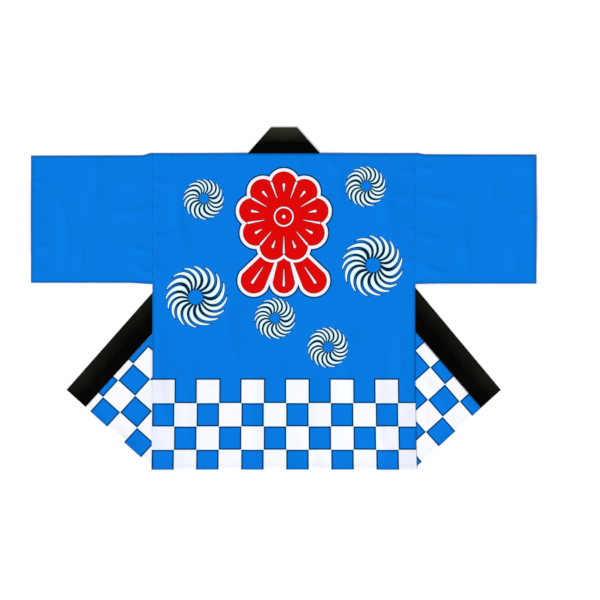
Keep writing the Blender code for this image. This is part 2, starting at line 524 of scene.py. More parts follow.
def laid(name, form, place=np.copy):
    """An object from a flat form, with its points put in place."""
    mesh = bpy.data.meshes.new(name)
    form.to_mesh(mesh)
    form.free()
    flat = np.empty(len(mesh.vertices) * 3)
    mesh.vertices.foreach_get("co", flat)
    mesh.vertices.foreach_set("co", place(flat.reshape(-1, 3)).ravel())
    mesh.polygons.foreach_set("use_smooth", [True] * len(mesh.polygons))
    mesh.update()
    piece = bpy.data.objects.new(name, mesh)
    scene.collection.objects.link(piece)
    return piece


def thickened(piece):
    """Two faces and an edge: material 0 on the right side, 1 on the wrong side."""
    wall = piece.modifiers.new("cloth", "SOLIDIFY")
    wall.thickness = CLOTH
    wall.offset = 0
    wall.material_offset = 1
    wall.use_even_offset = False
    print(f"{piece.name}: {len(piece.data.polygons)} squares of cloth")
    return piece


# %% [markdown]
# The back is one width of cloth from hem to shoulder. The neck is cut straight across, and there the cloth
# ends at the band's seam instead of rolling over.

# %% The back
SEAM_GAPS = (0.0012, 0.0025)
back_ys = hemmed(HEM_Y - HEM_TURN, SHOULDER_Y)
shoulder_ys = SHOULDER_Y + math.pi * ROLL * np.arange(1, ROLL_SIDES + 1) / ROLL_SIDES
back_xs = positions(-SIDE_X, SIDE_X)
seam_xs = SIDE_X - np.array(SEAM_GAPS)
back_xs = np.sort(np.concatenate([back_xs, -seam_xs, seam_xs]))
back_ys = np.concatenate([back_ys, shoulder_ys])
back_form = pattern(back_xs, back_ys, keep=lambda x, y: y < SHOULDER_Y or abs(x) > NECK_X)
back_cloth = thickened(laid("back_cloth", back_form, place_back))

# %% [markdown]
# Each front is a narrower strip from its side seam to the band's seam. Its right side faces down in the
# pattern, so its faces are turned round before it is laid.

# %% The fronts
SEAM_ROOM = 0.0003
front_ys = hemmed(HEM_Y - HEM_TURN, SHOULDER_Y - SEAM_ROOM)
front_cloths = {}
for side, name in SIDES.items():
    front_xs = np.sort(side * positions(NECK_X, SIDE_X))
    front_form = pattern(front_xs, front_ys)
    cut_roll(front_form, *crease_line(side), ROLL)
    bmesh.ops.reverse_faces(front_form, faces=front_form.faces)
    place = partial(place_front, side=side)
    front_cloths[side] = thickened(laid(f"front_{name}_cloth", front_form, place))

# %% [markdown]
# ## The sleeves
#
# A sleeve is one straight piece, folded at its top and sewn along its lower edge, so it lies as a flat tube.
# It is built as rings round the cloth, the first one inside the cuff, where the hem is turned in. Its layers
# lie at the same heights as the body's, so it meets the side seam level.

# %% Sleeves
CUFF_X = {-1: 0.6314, 1: 0.6309}
TOP_DROP = {-1: 0.0070, 1: 0.0042}
UNDER_RISE = {-1: 0.0030, 1: 0.0010}
TOP_RAMP = 0.028
UNDER_RAMP = 0.06
SLEEVE_SIDES = 82
SLEEVE_RINGS = 75
RING_STEP = 0.002
SEAM_END = 0.00002
CUFF_GAPE = 0.0032
CUFF_TAPER = 0.14
CUFF_CUT = HEM_TURN + math.pi * HEM_ROLL / 2


def fold(y, way, lower, upper, cut):
    """Points round a fold of the sleeve, between its layers."""
    middle = (lower + upper) / 2
    radius = (upper - lower) / 2
    turns = math.pi * np.arange(1, ROLL_SIDES) / ROLL_SIDES
    ways = [(way * math.sin(turn), -way * math.cos(turn)) for turn in turns]
    return [(y + out_y * radius, middle + out_z * radius, out_y, out_z, cut) for out_y, out_z in ways]


def sleeve_section(x, side):
    """Points round the sleeve at one place along it, with the way out of the cloth and the cut length."""
    share = (x - SIDE_X) / (CUFF_X[side] - SIDE_X)
    sunk = TOP_DROP[side] * (1 - eased(x - SIDE_X, TOP_RAMP)) * (1 - CUFF_TAPER + CUFF_TAPER * share)
    rise = UNDER_RISE[side] * (1 - eased(x - SIDE_X, UNDER_RAMP))
    bottom = UNDERARM_Y + rise + ROLL + CLOTH / 2
    top = SHOULDER_Y - sunk
    depth = top - bottom
    ys = np.linspace(bottom, top, SLEEVE_SIDES + 1)
    span = np.linspace(0, depth, SLEEVE_SIDES + 1)
    flat = 1 - eased(np.minimum(span, depth - span), SHOULDER_EASE)
    gape = CUFF_GAPE * eased(CUFF_X[side] - x, UNDER_RAMP) * np.sin(math.pi * span / depth) ** 2
    lower = lift(x, ys) + CLOTH / 2
    upper = cover(x, ys) + FACE_UP - 2 * HEM_ROLL * flat
    upper = upper + ridges(x, ys, SLEEVE_RIDGES[side]) * flat
    upper = upper + gape - seam_groove(x)
    ring = [(y, z, 0, -1, cut) for y, z, cut in zip(ys, lower, span)]
    ring += fold(top, 1, lower[-1], upper[-1], depth)
    ring += [(y, z, 0, 1, 2 * depth - cut) for y, z, cut in zip(ys[::-1], upper[::-1], span[::-1])]
    ring += fold(bottom, -1, lower[0], upper[0], 2 * depth)
    ring = np.array(ring)
    ring[:, 4] *= SLEEVE_DEPTH / depth
    return ring


def make_sleeve(side):
    """Rings from the turned-in hem, round the cuff's edge, to the side seam."""
    cuff = CUFF_X[side]
    rings = [(cuff - HEM_TURN + RING_STEP * step, 2 * HEM_ROLL) for step in range(5)]
    for step in range(ROLL_SIDES + 1):
        angle = math.pi * step / ROLL_SIDES
        rings.append((cuff - HEM_ROLL + HEM_ROLL * math.sin(angle), HEM_ROLL * (1 + math.cos(angle))))
    rings += [(x, 0.0) for x in np.linspace(cuff - RING_STEP, SIDE_X + 2 * RING_STEP, SLEEVE_RINGS)]
    rings += [(SIDE_X + gap, 0.0) for gap in (*SEAM_GAPS[::-1], SEAM_END)]
    form = bmesh.new()
    made = []
    gone = 0.0
    previous = rings[0]
    for x, inward in rings:
        section = sleeve_section(x, side)
        points = section[:, :2] - inward * section[:, 2:4]
        gone += math.hypot(x - previous[0], inward - previous[1])
        previous = (x, inward)
        cut = list(section[:, 4])
        verts = [form.verts.new((side * x, y, z)) for y, z in points]
        made.append((verts, [cut[-1], *cut[:-1]], [cut[-1] + RING_STEP, *cut[1:]], gone))
    tube(form, made)
    if side > 0:
        bmesh.ops.reverse_faces(form, faces=form.faces)
    return thickened(laid(f"sleeve_{SIDES[side]}_cloth", form))


sleeve_cloths = {side: make_sleeve(side) for side in SIDES}

# %% [markdown]
# ## The collar band
#
# The band is one long strip, folded along its length, so it has a soft round edge on both sides and is about
# three times as thick as the rest. It is built as two flattened tubes, from each front hem to the middle of
# the neck, and then joined there.

# %% The band
BAND_SIDES = 16
BAND_BENDS = 6
BAND_ROOM = 0.0002
FACE_ROOM = 0.00005


def band_section():
    """(place across, height, distance round) of points round the band, flat faces and round edges."""
    half = WALL / 2 - FACE_ROOM
    inner = FREE_X + half
    outer = NECK_X - BAND_ROOM - half
    flat = np.linspace(inner, outer, BAND_SIDES + 1)
    bend = math.pi * np.arange(1, BAND_BENDS) / BAND_BENDS
    width = outer - inner
    section = [(x, half, x - inner) for x in flat]
    section += [(outer + half * math.sin(a), half * math.cos(a), width + a * half) for a in bend]
    section += [(x, -half, width + math.pi * half + outer - x) for x in flat[::-1]]
    section += [
        (inner - half * math.sin(a), -half * math.cos(a), 2 * width + (math.pi + a) * half) for a in bend
    ]
    return section


def make_band_half(side):
    """Half of the band as an object, from its front hem to the middle of the neck."""
    form = bmesh.new()
    section = band_section()
    ends = [cut for _, _, cut in section]
    starts = [-SEAM_ROOM, *ends[:-1]]
    rings = []
    for y in positions(HEM_Y, SHOULDER_Y + NECK_X):
        rings.append(([form.verts.new((side * x, y, z)) for x, z, _ in section], starts, ends, y))
    cut_map = tube(form, rings)
    end = form.faces.new(rings[0][0])
    for corner in end.loops:
        corner[cut_map].uv = (side * corner.vert.co.x - FREE_X, HEM_Y + corner.vert.co.z)
    cut_roll(form, *crease_line(side), ROLL)
    cut_roll(form, mirrored(side, NECK_X, SHOULDER_Y), (side, 1), ROLL)
    bmesh.ops.recalc_face_normals(form, faces=form.faces)
    return laid("band_half", form, partial(place_band, side=side))


def make_band():
    """Both halves, joined at the middle of the neck."""
    form = bmesh.new()
    for half in (make_band_half(-1), make_band_half(1)):
        form.from_mesh(half.data)
        bpy.data.objects.remove(half)
    middle = [vert for vert in form.verts if abs(vert.co.x) < 0.0001 and vert.co.y > SHOULDER_Y]
    bmesh.ops.remove_doubles(form, verts=middle, dist=0.00001)
    band = laid("collar_band", form)
    print(f"{band.name}: {len(band.data.polygons)} squares of cloth")
    return band


collar_band = make_band()

# %% [markdown]
# ## Stitches
#
# The hems are held by a line of lockstitch, about 3 mm a stitch, and the band by a line beside its seam. The
# rows of ONE_STITCH are a place along a stitch, and its rise and size there as shares of the thread's radius.
# Stitches are drawn on the flat pattern and laid by the same function as their cloth.

# %% Thread
STITCH = 0.0030
STITCH_GAP = 0.0006
THREAD = 0.00021
THREAD_SIDES = 6
STITCH_ENDS = 0.002
ONE_STITCH = ((0, -0.9, 0.5), (0.16, 0.2, 1), (0.5, 0.7, 1), (0.84, 0.2, 1), (1, -0.9, 0.5))


def stitch_form(lines, face):
    """Every stitch along straight lines ((x1, y1), (x2, y2)) on a face at a given height."""
    form = bmesh.new()
    for (x1, y1), (x2, y2) in lines:
        length = math.hypot(x2 - x1, y2 - y1)
        along = Vector(((x2 - x1) / length, (y2 - y1) / length, 0))
        beside = Vector((-along.y, along.x, 0))
        count = math.floor(length / STITCH)
        for i in range(count):
            begin = Vector((x1, y1, 0)) + along * (length * i / count + STITCH_GAP / 2)
            rings = []
            for share, rise, size in ONE_STITCH:
                middle = begin + along * ((length / count - STITCH_GAP) * share)
                middle.z = face + math.copysign(THREAD * rise, face)
                ring = []
                for side in range(THREAD_SIDES):
                    angle = 2 * math.pi * side / THREAD_SIDES
                    offset = beside * math.cos(angle) + Vector((0, 0, math.sin(angle)))
                    ring.append(form.verts.new(middle + offset * (THREAD * size)))
                rings.append(ring)
            for near, far in zip(rings, rings[1:]):
                for side in range(THREAD_SIDES):
                    form.faces.new((near[side - 1], near[side], far[side], far[side - 1]))
            form.faces.new(rings[0])
            form.faces.new(rings[-1][::-1])
    return flat_cut(form)


def sew(name, lines, face, place):
    thread = laid(name, stitch_form(lines, face), place)
    print(f"{name}: {len(thread.data.polygons) // (4 * THREAD_SIDES + 2)} stitches")
    return thread


hem_line_y = HEM_Y + HEM_STITCH
ends = [(x, hem_line_y) for x in (-SIDE_X + STITCH_ENDS, SIDE_X - STITCH_ENDS)]
back_thread = sew("back_hem_stitches", [ends], CLOTH / 2, place_back)
front_threads = {}
for side, name in SIDES.items():
    ends = [mirrored(side, x, hem_line_y) for x in (NECK_X + STITCH_ENDS, SIDE_X - STITCH_ENDS)]
    place = partial(place_front, side=side)
    front_threads[side] = sew(f"front_{name}_hem_stitches", [ends], -CLOTH / 2, place)


# %% [markdown]
# The cuff's stitches go all round the sleeve. The band's run along its sewn side, front and back, and also
# close its ends.

# %% Cuff and band stitches
def place_round_sleeve(points, side):
    """Points given as (x, distance round the sleeve, height out of the cloth)."""
    placed = np.empty_like(points)
    section = sleeve_section(float(points[0, 0]), side)
    steps = np.hypot(*np.diff(section[:, :2], axis=0).T)
    gone = np.concatenate([[0], np.cumsum(steps)])
    ways = np.stack([np.gradient(section[:, 1]), -np.gradient(section[:, 0])], axis=1)
    ways /= np.hypot(*ways.T)[:, None]
    for axis in (0, 1):
        on_cloth = np.interp(points[:, 1], gone, section[:, axis])
        out = np.interp(points[:, 1], gone, -ways[:, axis])
        placed[:, axis + 1] = on_cloth - points[:, 2] * out
    placed[:, 0] = side * points[:, 0]
    placed[:, 2] = np.maximum(placed[:, 2], 0)
    return placed


CUFF_START = 0.001
CUFF_ROUND = 2 * (SLEEVE_DEPTH - 0.008)
cuff_threads = {}
for side, name in SIDES.items():
    line_x = CUFF_X[side] - HEM_STITCH
    round_cuff = [((line_x, CUFF_START), (line_x, CUFF_ROUND))]
    place = partial(place_round_sleeve, side=side)
    cuff_threads[side] = sew(f"sleeve_{name}_cuff_stitches", round_cuff, CLOTH / 2, place)

BAND_INSET = 0.0022
FREE_INSET = 0.003
seam_x = NECK_X - BAND_INSET
free_x = FREE_X + FREE_INSET
end_y = HEM_Y + BAND_INSET
band_threads = []
for side, name in SIDES.items():
    edges = [
        (mirrored(side, seam_x, HEM_Y + STITCH_ENDS), mirrored(side, seam_x, SHOULDER_Y + BAND_INSET)),
        (mirrored(side, free_x, end_y), mirrored(side, seam_x, end_y)),
    ]
    place = partial(place_band, side=side)
    for way, face in (("outer", -WALL / 2), ("inner", WALL / 2)):
        band_threads.append(sew(f"band_{name}_{way}_stitches", edges, face, place))

# %% [markdown]
# ## Writing the dye as maths
#
# The pattern is dyed with paste and stencils, so it has crisp edges but no relief. It is worked out from the
# cut map alone: a check, rings of curved blades, and one large motif. The helper below lets ordinary
# arithmetic make the nodes, which keeps each group readable.

# %% A helper for node sums
def method(operation, swapped=False):
    """A Math node from a Value and whatever stands beside it."""
    if swapped:
        return lambda self, other: op(operation, other, self)
    return lambda self, other: op(operation, self, other)


class Value:
    """A number or colour that varies over the cloth. Arithmetic on it makes nodes in its tree."""

    def __init__(self, tree, socket):
        self.tree = tree
        self.socket = socket

    def __neg__(self):
        return self * -1.0

    __add__ = __radd__ = method("ADD")
    __mul__ = __rmul__ = method("MULTIPLY")
    __sub__ = method("SUBTRACT")
    __rsub__ = method("SUBTRACT", swapped=True)
    __truediv__ = method("DIVIDE")
    __rtruediv__ = method("DIVIDE", swapped=True)
    __lt__ = method("LESS_THAN")
    __gt__ = method("LESS_THAN", swapped=True)


def new_node(tree, kind, **settings):
    """A node, set out in rows of twelve."""
    count = len(tree.nodes)
    made = tree.nodes.new(kind)
    made.location = (180 * (count % 12), -160 * (count // 12))
    for key, value in settings.items():
        setattr(made, key, value)
    return made


def wire(value, socket):
    """Links a Value to a socket, or sets a plain number or colour on it."""
    if isinstance(value, Value):
        value.tree.links.new(value.socket, socket)
    else:
        socket.default_value = value


def op(operation, *values):
    """A Math node of any kind."""
    tree = next(value.tree for value in values if isinstance(value, Value))
    made = new_node(tree, "ShaderNodeMath", operation=operation)
    for value, socket in zip(values, made.inputs):
        wire(value, socket)
    return Value(tree, made.outputs[0])


low = partial(op, "MINIMUM")
high = partial(op, "MAXIMUM")
floor_of = partial(op, "FLOOR")
modulo = partial(op, "FLOORED_MODULO")
power = partial(op, "POWER")
sine = partial(op, "SINE")
size_of = partial(op, "ABSOLUTE")


def clamp(value):
    return low(high(value, 0.0), 1.0)


def length(x, y):
    return op("SQRT", x * x + y * y)


def either(choice, if_one, if_zero):
    """if_one where choice is 1, if_zero where it is 0."""
    return choice * if_one + (1.0 - choice) * if_zero


def mix(share, first, second):
    """A colour: first at 0, second at 1."""
    made = new_node(share.tree, "ShaderNodeMix", data_type="RGBA")
    wire(share, made.inputs["Factor"])
    colours = [socket for socket in made.inputs if socket.type == "RGBA"]
    wire(first, colours[0])
    wire(second, colours[1])
    return Value(share.tree, next(socket for socket in made.outputs if socket.type == "RGBA"))


def group(name, *takes):
    """A new node group and its inputs as Values, all plain numbers."""
    tree = bpy.data.node_groups.new(name, "ShaderNodeTree")
    for label in takes:
        tree.interface.new_socket(label, in_out="INPUT", socket_type="NodeSocketFloat")
    source = new_node(tree, "NodeGroupInput")
    return tree, [Value(tree, source.outputs[label]) for label in takes]


def give(tree, gives):
    """Ends a node group with its outputs, {name: Value}, and says how large it is."""
    for label in gives:
        tree.interface.new_socket(label, in_out="OUTPUT", socket_type="NodeSocketFloat")
    sink = new_node(tree, "NodeGroupOutput")
    for label, value in gives.items():
        wire(value, sink.inputs[label])
    print(f"{tree.name}: {len(tree.nodes)} nodes")
    return tree


def use_group(tree, *values):
    """A group node fed in order with numbers and Values. Its outputs are {name: Value}."""
    made = new_node(values[0].tree, "ShaderNodeGroup", node_tree=tree)
    for value, socket in zip(values, made.inputs):
        wire(value, socket)
    return {socket.name: Value(values[0].tree, socket) for socket in made.outputs}


def colour(red, green, blue):
    """A linear colour from screen values of 0 to 255."""
    channels = [value / 255 for value in (red, green, blue)]
    return (*[c / 12.92 if c <= 0.04045 else ((c + 0.055) / 1.055) ** 2.4 for c in channels], 1)


print("helper ready")

# %% [markdown]
# ### The check
#
# Four rows of squares fill the bottom of the coat. A dark keyline runs just inside each blue square, so the
# white squares join at their corners. The top row's blue squares run up into the plain blue. The group gives
# the distance inside a blue square, which is less than 0 on white.

# %% Check group
CHECK_ROWS = 4
CHECK_INSET = 0.0002
KEYLINE = 0.0034


def make_check():
    takes = ("Across", "Up", "Start", "Top", "Width", "Height", "Odd")
    tree, (x, up, start, top, width, height, odd) = group("check", *takes)
    across = (x - start) / width
    column = floor_of(across)
    down = top - up
    row = low(floor_of(down / height), CHECK_ROWS - 1.0)
    in_column = (across - column) * width
    to_side = low(in_column, width - in_column)
    in_row = down - row * height
    white_above = modulo(column + odd, 2.0) > 0.5
    white = modulo(column + row + odd, 2.0) > 0.5
    to_top = in_row + (row < 0.5) * (1.0 - white)
    to_bottom = (height - in_row) + (row > CHECK_ROWS - 1.5)
    inside = low(to_side, low(to_top, to_bottom))
    in_check = either(white, -inside, inside)
    on_plain = high(-down, either(white_above, 0.0, to_side))
    depth = either(down < 0.0, on_plain, in_check)
    return give(tree, {"Depth": depth - CHECK_INSET})


check_group = make_check()

# %% [markdown]
# ### The rings of blades
#
# Each ring has sixteen white blades, like a pinwheel. A blade hooks round at its inner end and then sweeps
# far ahead to its tip, which runs almost along the rim. So its middle line is the sum of three powers of the
# distance out, given as (angle, power), and its width swells and closes again. The blades look cut by hand,
# so they are a little uneven, and a ring leans a little off its hole. The group gives two masks, the white
# blade and the blade with its keyline, and how far inside the blade a place is.

# %% Ring group
BLADES = 16.0
BLADE_PITCH = 2 * math.pi / BLADES
HOLE = 0.26
HOOK = (math.radians(20), 5.0)
SWEEP = (math.radians(35), 1.25)
TIP = (math.radians(15), 5.0)
BLADE_WIDTH = 0.515
SWELL = 0.45
CLOSE = 0.39
RING_LINE = 0.0036
LINE_AT_HOLE = 1.2
LINE_THINS = 0.25
RING_LAP = 0.025
UNEVEN = ((3.0, 0.045, 0.8), (5.0, 0.030, 2.1))
UNALIKE = 9.0
TINY = 0.001


def make_ring():
    takes = ("Across", "Up", "Middle X", "Middle Y", "Radius", "Turn", "Lean X", "Lean Y")
    tree, (across, up, middle_x, middle_y, size, turn, lean_x, lean_y) = group("blade_ring", *takes)
    x = across - middle_x
    y = up - middle_y
    radius = length(x, y)
    reach = size + (lean_x * x + lean_y * y) / high(radius, TINY)
    share = (radius / reach - HOLE) / (1 - HOLE)
    safe = clamp(share)
    hook = power(1.0 - safe, HOOK[1]) * HOOK[0]
    sweep = power(safe, SWEEP[1]) * SWEEP[0]
    tip = power(safe, TIP[1]) * TIP[0]
    angle = op("ARCTAN2", y, x)
    turned = angle - (hook + (sweep + tip)) - turn
    for waves, height, first in UNEVEN:
        turned = turned + sine(angle * waves + (first + turn * UNALIKE)) * height
    off_middle = size_of(modulo(turned * (1 / BLADE_PITCH), 1.0) - 0.5)
    half = power(safe, SWELL) * power(1.0 - safe, CLOSE) * BLADE_WIDTH
    line = (RING_LINE / BLADE_PITCH) / high(radius, TINY) * (LINE_AT_HOLE - safe * LINE_THINS)
    in_ring = (share > 0.0) * (share < 1.0)
    in_lap = (share > -RING_LAP) * (share < 1 + RING_LAP)
    return give(tree, {
        "White": in_ring * (off_middle < half),
        "Line": in_lap * (off_middle < half + line),
        "Inside": (half - off_middle) * (radius * BLADE_PITCH),
    })


ring_group = make_ring()

# %% [markdown]
# ### The motif
#
# A large red blossom fills the middle of the back, over three round leaves. Its nine petals are one rounded
# drop repeated round a centre and parted by slits, and each leaf is a drop with a slit for its rib. A drop's
# sizes are where its two ends lie along its spoke, and their radii. A leaf starts at a place and points down
# at an angle. The group gives the distance to the edge of the red, less than 0 inside it, so that the white
# border, the keyline and the darker rim all follow one outline.

# %% Motif group
FLOWER_Y = 0.2045
SECTOR = 2 * math.pi / 9
PETAL = (0.0200, 0.0805, 0.0160, 0.0325)
PETAL_GAP = (0.0500, 0.0900, 0.0005, 0.0024)
PETAL_RIB = (0.0640, 0.0800, 0.0007, 0.0030)
INNER_RING = 0.0230
INNER_RING_HALF = 0.0017
EYE = 0.0042
LEAVES = (
    (0.0, 0.095, -90, (0.0, 0.054, 0.0150, 0.0280), (0.022, 0.062, 0.0006, 0.0026)),
    (0.036, 0.103, -56, (0.0, 0.070, 0.0170, 0.0325), (0.030, 0.076, 0.0006, 0.0030)),
)
MOTIF_BORDER = 0.0082
LEAF_GAP = 0.0062


def drop(x, y, near, far, thin, full):
    """Distance to a drop along X: round ends of two sizes, joined by straight sides."""
    share = clamp((x - near) / (far - near))
    return length((x - near) - share * (far - near), y) - (thin + share * (full - thin))


def turned_axes(x, y, angle):
    """x and y measured along and across a direction."""
    along = x * math.cos(angle) + y * math.sin(angle)
    return along, y * math.cos(angle) - x * math.sin(angle)


def slitted(shape, slit):
    """A shape with a slit cut out of it."""
    return high(shape, -slit)


def make_motif():
    tree, (x, up) = group("flower_motif", "Across", "Up")
    y = up - FLOWER_Y
    radius = length(x, y)
    turn = op("ARCTAN2", x, y)

    def spoke(first):
        """Places measured along and across the nearest spoke."""
        angle = modulo(turn + (SECTOR / 2 - first), SECTOR) - SECTOR / 2
        return radius * op("COSINE", angle), radius * sine(angle)

    on_petal = spoke(0.0)
    outline = drop(*on_petal, *PETAL)
    blossom = slitted(outline, drop(*spoke(SECTOR / 2), *PETAL_GAP))
    blossom = slitted(blossom, drop(*on_petal, *PETAL_RIB))
    blossom = slitted(blossom, size_of(radius - INNER_RING) - INNER_RING_HALF)
    blossom = slitted(blossom, radius - EYE)
    side = size_of(x)
    leaves = []
    for from_x, from_y, degrees, shape, rib in LEAVES:
        place = turned_axes(side - from_x, up - from_y, math.radians(degrees))
        leaves.append(slitted(drop(*place, *shape), drop(*place, *rib)))
    foot = slitted(low(*leaves), outline - LEAF_GAP)
    return give(tree, {"Edge": low(blossom, foot)})


motif_group = make_motif()

# %% [markdown]
# ### Weave and dye
#
# The cloth is a plain cotton, with about fifteen threads to the centimetre and thicker slubs here and there.
# Its dye drifts in depth over a few centimetres and is a little streaky along the threads.

# %% Weave group
THREADS_PER_METRE = 1500.0
WEAVE_HEIGHT = 0.35
SLUB_HEIGHT = 1.4


def make_weave():
    tree, (across, up) = group("plain_weave", "Across", "Up")
    spin = math.pi * THREADS_PER_METRE
    over = sine(across * spin) * sine(up * spin)

    def noise(scale_x, scale_y, detail):
        """Smooth noise from -0.5 to 0.5, with its own scale each way."""
        place = new_node(tree, "ShaderNodeCombineXYZ")
        wire(across * scale_x, place.inputs["X"])
        wire(up * scale_y, place.inputs["Y"])
        made = new_node(tree, "ShaderNodeTexNoise")
        tree.links.new(place.outputs[0], made.inputs["Vector"])
        put(made, {"Scale": 1, "Detail": detail})
        return Value(tree, made.outputs["Fac"]) - 0.5

    slubs = noise(900, 22, 2) + noise(20, 900, 2)
    drift = noise(9, 7, 3) + noise(60, 48, 2) * 0.4
    return give(tree, {"Height": over * WEAVE_HEIGHT + slubs * SLUB_HEIGHT, "Drift": drift, "Streak": slubs})


weave_group = make_weave()

# %% [markdown]
# ## The dyed cloths
#
# Cotton is matt with a little fuzz, so it is rough, with hardly any gloss and a thin sheen. Dye is darkest in
# the keylines and creeps a little way from the keylines into the white. Along folds, seams and hems the blue
# carries painted shade.

# %% Colours of the dye, and of painted shade and sheen
BLUE = colour(0, 114, 212)
SLEEVE_BLUE = colour(0, 115, 212)
# A deeper blue, painted as shade along folds, seams and hems.
EDGE_SHADE_BLUE = colour(0, 84, 158)
PALE_BLUE = colour(112, 204, 242)
NAVY = colour(0, 38, 84)
WHITE = colour(233, 235, 239)
LILAC = colour(220, 221, 236)
BLACK = colour(1, 1, 0)
# A grey-brown painted sheen for the black band.
PAINTED_SHEEN = colour(47, 49, 39)
INSIDE_BLUE = colour(92, 150, 214)
INSIDE_WHITE = colour(228, 230, 238)
INSIDE_LINE = colour(92, 128, 176)
# Hem thread colours, darker than the cloth's as painted shade of the stitch groove.
SHADED_THREAD_WHITE = colour(196, 199, 214)
SHADED_THREAD_BLUE = colour(0, 103, 196)
FACE_DYES = {
    "white": WHITE,
    "line": NAVY,
    "ring": colour(218, 235, 239),
    "ring line": colour(0, 27, 52),
    "motif": colour(234, 226, 231),
    "rim": colour(138, 8, 16),
    "red": colour(210, 0, 0),
}
INSIDE_DYES = {
    "white": INSIDE_WHITE,
    "line": INSIDE_LINE,
    "ring": INSIDE_WHITE,
    "ring line": INSIDE_LINE,
    "motif": INSIDE_WHITE,
    "rim": colour(190, 96, 110),
    "red": colour(214, 112, 118),
}
print(len(FACE_DYES), "dyes on the face of the back")

# %% [markdown]
# A ring's row is its middle, its radius, its turn in degrees and its lean. A check's row is where its first
# square starts, its top, the width and height of a square, and which square comes first.

# %% Places of the rings and checks
RINGS = (
    (-0.1993, 0.2508, 0.0508, 10.9, -0.0009, -0.0033),
    (0.2055, 0.2818, 0.0508, 4.1, -0.0010, -0.0021),
    (0.2235, 0.0838, 0.0761, 17.0, -0.0020, -0.0022),
    (-0.2212, 0.0030, 0.0766, 8.5, 0.0030, 0.0015),
    (-0.0226, -0.0490, 0.0514, 17.0, 0.0005, -0.0009),
    (0.1112, -0.1210, 0.0510, 2.5, -0.0013, -0.0011),
)
BACK_CHECK = (-0.2725, -0.2030, 0.0557, 0.0583, 0.0)
FRONT_CHECKS = {
    -1: (-NECK_X - 0.0155, -0.2115, 0.0572, 0.0560, 0.0),
    1: (NECK_X + 0.0300, -0.2115, 0.0575, 0.0560, 0.0),
}
print(len(RINGS), "rings of blades")

# %% [markdown]
# A print is a node chain from the cut map to one colour. The back carries everything, a front only the check,
# a sleeve nothing. The same functions build the wrong side, where the dye has come through paler.

# %% Prints
SOAK = 0.0016
SOAK_SHARE = 0.85
RIM_WIDTH = 0.0020
LILAC_FROM = 0.20
LILAC_OVER = 0.12
LILAC_SHARE = 0.9
EDGE_REACH = 0.0075
EDGE_SHARE = 0.75


def soaked(inside, white):
    """White cloth that has drawn in a little blue beside the dark line."""
    return mix(clamp(1.0 - inside / SOAK) * SOAK_SHARE, white, PALE_BLUE)


def check_print(across, up, plain, places, white, navy):
    """Colour of the check over the plain cloth."""
    depth = use_group(check_group, across, up, *places)["Depth"]
    found = mix(depth < KEYLINE, plain, navy)
    return mix(depth < 0.0, found, soaked(-depth, white))


def back_print(across, up, plain, dyes):
    """Check, rings and motif over the plain cloth. The white turns lilac-grey towards the sides."""
    to_side = clamp((size_of(across) - LILAC_FROM) / LILAC_OVER)
    check_white = mix(to_side * LILAC_SHARE, dyes["white"], LILAC)
    found = check_print(across, up, plain, BACK_CHECK, check_white, dyes["line"])
    for x, y, radius, turn, lean_x, lean_y in RINGS:
        ring = use_group(ring_group, across, up, x, y, radius, math.radians(turn), lean_x, lean_y)
        found = mix(ring["Line"], found, dyes["ring line"])
        found = mix(ring["White"], found, soaked(ring["Inside"], dyes["ring"]))
    edge = use_group(motif_group, across, up)["Edge"]
    found = mix(edge < MOTIF_BORDER + KEYLINE, found, dyes["line"])
    to_line = MOTIF_BORDER - edge
    found = mix(to_line > 0.0, found, soaked(to_line, dyes["motif"]))
    found = mix(edge < 0.0, found, dyes["rim"])
    return mix(edge < -RIM_WIDTH, found, dyes["red"])


def edge_shade(near, plain):
    """Painted shade along folds, seams and hems: the blue turns deeper towards them. near is the distance to
    one.
    """
    return mix((1.0 - clamp(near / EDGE_REACH)) * EDGE_SHARE, plain, EDGE_SHADE_BLUE)


def to_hem(up):
    return size_of(HEM_Y - up)


def sleeve_face(across, up):
    """Painted shade, a deeper blue, along the sleeve's folds and cuff."""
    from_seam = op("PINGPONG", across, SLEEVE_DEPTH)
    to_fold = low(from_seam, SLEEVE_DEPTH - from_seam)
    return edge_shade(low(size_of(up - CUFF_CUT), to_fold), SLEEVE_BLUE)


def back_face(across, up):
    """Painted shade, a deeper blue, along the shoulder fold, the hem, and the sides below the sleeves."""
    beside_sleeve = up > UNDERARM_Y
    to_side = (SIDE_X - size_of(across)) + beside_sleeve
    near = low(to_side, low(size_of(SHOULDER_Y - up), to_hem(up)))
    return back_print(across, up, edge_shade(near, BLUE), FACE_DYES)


print("prints are ready")

# %% [markdown]
# The weave, the drift of the dye and the sheen go over every print in the same way.

# %% Cloth materials
ROUGHNESS = 0.86
ROUGH_STREAKS = 0.12


def bumped(tree, height, distance, shader):
    """Relief on a shader's normal."""
    relief = new_node(tree, "ShaderNodeBump")
    put(relief, {"Distance": distance, "Strength": 1})
    wire(height, relief.inputs["Height"])
    tree.links.new(relief.outputs[0], shader.inputs["Normal"])


def dyed(name, print_at, bump=0.00006, drift=0.10, gloss=0.05, sheen=0.02):
    """A finished cloth. print_at gives its colour at a place on the cut map."""
    material, shader = new_material(name)
    tree = material.node_tree
    cut = new_node(tree, "ShaderNodeUVMap", uv_map="cut")
    split = new_node(tree, "ShaderNodeSeparateXYZ")
    tree.links.new(cut.outputs[0], split.inputs[0])
    across = Value(tree, split.outputs["X"])
    up = Value(tree, split.outputs["Y"])
    found = print_at(across, up)
    weave = use_group(weave_group, across, up)
    tint = new_node(tree, "ShaderNodeVectorMath", operation="SCALE")
    wire(found if isinstance(found, Value) else found[:3], tint.inputs[0])
    wire(1.0 + (weave["Drift"] * drift + weave["Streak"] * drift), tint.inputs["Scale"])
    tree.links.new(tint.outputs[0], shader.inputs["Base Color"])
    wire(ROUGHNESS + weave["Streak"] * ROUGH_STREAKS, shader.inputs["Roughness"])
    bumped(tree, weave["Height"], bump, shader)
    put(shader, {"Specular IOR Level": gloss, "Sheen Weight": sheen, "Sheen Roughness": 0.5})
    return material


